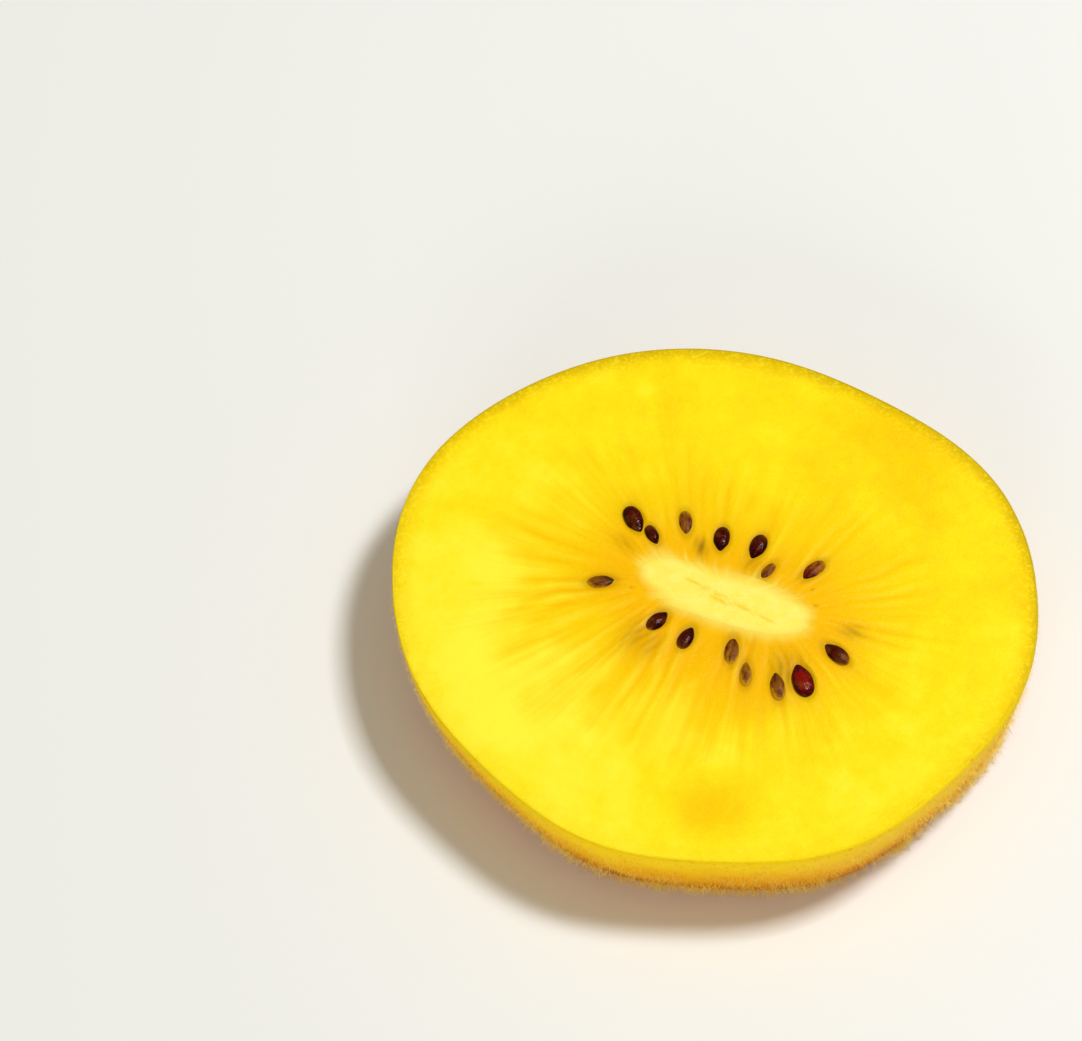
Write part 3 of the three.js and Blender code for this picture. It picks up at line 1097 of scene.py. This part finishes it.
def skin_material():
    """Thin golden skin, painted yellower near the upper cut as light through the flesh would make
    it, and browner lower down, partly its own colour and partly painted shade towards the table,
    with blotches, fine grain and small orange breathing spots. Its cut edge is yellow, and olive on
    the
    +Y side, where the wall under it is olive too."""
    material, tree, shader = new_material("kiwi skin")
    place = millimetres(tree)
    fan = attribute(tree, "fan", "Vector")
    _, north, height = node(tree, "ShaderNodeSeparateXYZ", {0: fan}).outputs
    clouds, blotches = mottling_of(place, 0.3, 1.1)
    grain = grain_of(place, 6.0, 0.6)
    level = plus(height, weighed(clouds, 0.35))
    # Painted light and shade by height: brown and darker low on the wall, yellow near the upper
    # cut.
    base = blend(fade(level, 0.0, 0.55), SKIN_BROWN_AND_SHADE, SKIN_TAN)
    base = blend(fade(level, 0.45, 0.9), base, SKIN_LIT_YELLOW)
    base = blend(fade(blotches, 0.55, 0.75, 0.0, 0.4), base, SKIN_BLOTCH)
    base = blend(fade(grain, 0.56, 0.7, 0.0, 0.3), base, SKIN_GRAIN)
    spots = node(tree, "ShaderNodeTexVoronoi", {"Vector": place, "Scale": 0.9, "Randomness": 1.0})
    spot = fade(spots.outputs["Distance"], 0.18, 0.06, 0.0, 0.45)
    base = blend(spot, base, SKIN_SPOT)
    side = fade(north, -0.5, 0.6, 0.0, 0.85)
    edge = blend(side, CUT_YELLOW, CUT_OLIVE)
    olive = times(side, fade(level, 0.6, 1.0))
    base = blend(olive, base, SKIN_OLIVE)
    colour = blend(attribute(tree, "outside"), edge, base)
    feed(shader, {
        "Base Color": colour,
        "Roughness": 0.6,
        "Subsurface Weight": 0.2,
        "Subsurface Radius": (1.0, 0.6, 0.1),
        "Subsurface Scale": 0.0005,
        "Specular IOR Level": 0.08,
        "Normal": bump(plus(grain, spot), 0.05),
    })
    return material


def seed_material():
    """Glossy seed coat: near-black to red by each seed's tone, painted darker towards its edge and
    lighter on its crown as painted shade and light, and clouded brown. Where flesh films a seed
    over, dark and pale brown streaks run along it, it is less glossy, and its edge thins out to the
    flesh's yellow."""
    material, tree, shader = new_material("kiwi seed coat")
    place = millimetres(tree)
    tone = attribute(tree, "tone")
    cover = attribute(tree, "cover")
    crown = attribute(tree, "crown")
    coat_place = attribute(tree, "coat", "Vector")
    grain = grain_of(place, 5.0, 0.5)
    clouds, _ = mottling_of(place, 1.1, 3.0)
    streak_place = stretched(coat_place, (0.9, 2.6, 1.0))
    broad, narrow = mottling_of(streak_place, 1.3, 2.4)
    streak = plus(broad, weighed(narrow, 0.6))

    # Painted light and shade: the coat is lighter on the seed's crown and darker towards its edge.
    painted_crown_light = plus(crown, weighed(streak, 1.6))
    coat = blend(fade(painted_crown_light, 0.35, 0.95), COAT_BLACK, COAT_BROWN)
    red = blend(fade(painted_crown_light, 0.4, 1.0), COAT_DARK_RED, COAT_RED)
    coat = blend(fade(tone, 0.3, 1.0), coat, red)
    coat = blend(fade(clouds, 0.52, 0.74, 0.0, 0.5), coat, COAT_CLOUD)

    film = blend(fade(streak, 0.3, 0.5), FILM_DARK, FILM_BROWN)
    film = blend(fade(streak, 0.52, 0.74), film, FILM_PALE)
    colour = blend(fade(cover, 0.2, 0.75, 0.0, 0.9), coat, film)
    thin = plus(less(times(cover, 1.1), crown), weighed(streak, 0.9))
    colour = blend(fade(thin, 0.0, 0.75, 0.0, 0.85), colour, FILM_EDGE)
    feed(shader, {
        "Base Color": colour,
        "Roughness": fade(cover, 0.0, 0.8, 0.13, 0.42),
        "Specular IOR Level": 0.1,
        "Normal": bump(grain, 0.05),
    })
    return material


def hair_material():
    """Fine golden-tan hair, paler towards the tip. A faint glow stands for the light that passes
    through it."""
    material, tree, shader = new_material("kiwi hair")
    body = blend(attribute(tree, "tone"), HAIR_GOLD, HAIR_STRAW)
    paler = fade(attribute(tree, "along"), 0.2, 1.0, 0.0, 0.7)
    colour = blend(paler, body, HAIR_TIP)
    feed(shader, {
        "Base Color": colour,
        "Emission Color": colour,
        "Emission Strength": 0.14,
        "Roughness": 0.6,
        "Subsurface Weight": 0.5,
        "Subsurface Radius": (1.0, 0.7, 0.2),
        "Subsurface Scale": 0.0001,
        "Specular IOR Level": 0.1,
    })
    return material


def floor_material():
    """Plain white table top with a faint gloss."""
    material, _, shader = new_material("white table")
    feed(shader, {
        "Base Color": (0.86, 0.875, 0.865, 1),
        "Roughness": 0.3,
        "Specular IOR Level": 0.3,
    })
    return material


# ---------------- setting

def make_floor():
    """Flat square table top under the slice."""
    half = 1.5
    corners = [(-half, -half, 0), (half, -half, 0), (half, half, 0), (-half, half, 0)]
    mesh = bpy.data.meshes.new("table_top")
    mesh.from_pydata(corners, [], [(0, 1, 2, 3)])
    floor = new_object("table_top", mesh)
    floor.data.materials.append(floor_material())


def direction(bearing, elevation):
    """Unit vector towards a viewpoint: bearing 0 is on the -Y side, and grows towards +X."""
    a, e = math.radians(bearing), math.radians(elevation)
    return np.array((math.sin(a) * math.cos(e), -math.cos(a) * math.cos(e), math.sin(e)))


def aim_at(thing, place, target):
    """Puts a camera or lamp at a place and turns it to a target."""
    thing.location = tuple(place)
    way = Vector(tuple(np.array(target) - np.array(place)))
    thing.rotation_mode = "QUATERNION"
    thing.rotation_quaternion = way.to_track_quat("-Z", "Y")


def make_camera():
    """Long lens looking down on the cut face."""
    data = bpy.data.cameras.new("camera")
    data.lens = CAMERA_LENS
    data.clip_start = 0.01
    camera = new_object("camera", data)
    target = np.array((*CAMERA_AIM, FACE_HEIGHT)) * MM
    way = direction(CAMERA_BEARING, CAMERA_ELEVATION)
    aim_at(camera, target + way * CAMERA_DISTANCE * MM, target)
    bpy.context.scene.camera = camera


def make_lamp(name, bearing, elevation, distance, size, power, colour=(1, 1, 1)):
    """Square soft lamp aimed at the slice."""
    data = bpy.data.lights.new(name, "AREA")
    data.size = size
    data.energy = power
    data.color = colour
    aim_at(new_object(name, data), direction(bearing, elevation) * distance, (0, 0, 0))


def make_light():
    """Faint warm surroundings, a lamp high behind to the right and a broad low one in front."""
    world = bpy.data.worlds.new("soft studio")
    bpy.context.scene.world = world
    world.use_nodes = True
    background = world.node_tree.nodes["Background"]
    background.inputs["Color"].default_value = (1, 0.93, 0.78, 1)
    background.inputs["Strength"].default_value = 0.3
    make_lamp("back softbox", bearing=130, elevation=64, distance=0.7, size=0.14, power=3.7)
    make_lamp(
        "front fill", bearing=5, elevation=15, distance=0.9, size=0.5, power=2.9,
        colour=(1, 0.95, 0.84),
    )
    bpy.context.scene.view_settings.view_transform = "Standard"


def finish_piece(piece, material, nodes=()):
    """Gives a piece its material and slot, rides it on the body and lets it stand for its
    solids."""
    piece.data.materials.append(material)
    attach(piece, "root")
    if nodes:
        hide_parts(*nodes)


seed_coat = seed_material()
finish_piece(make_flesh(), flesh_material(), ["flesh"])
finish_piece(make_core(), core_material(), ["core"])
finish_piece(make_skin(), skin_material(), ["skin"])
finish_piece(make_seeds("face_seeds", FACE_SEEDS, FACE_HEIGHT, 1), seed_coat)
finish_piece(make_seeds("under_seeds", under_seeds(), 0.0, -1), seed_coat)
finish_piece(make_hairs(), hair_material())

make_floor()
make_light()
make_camera()
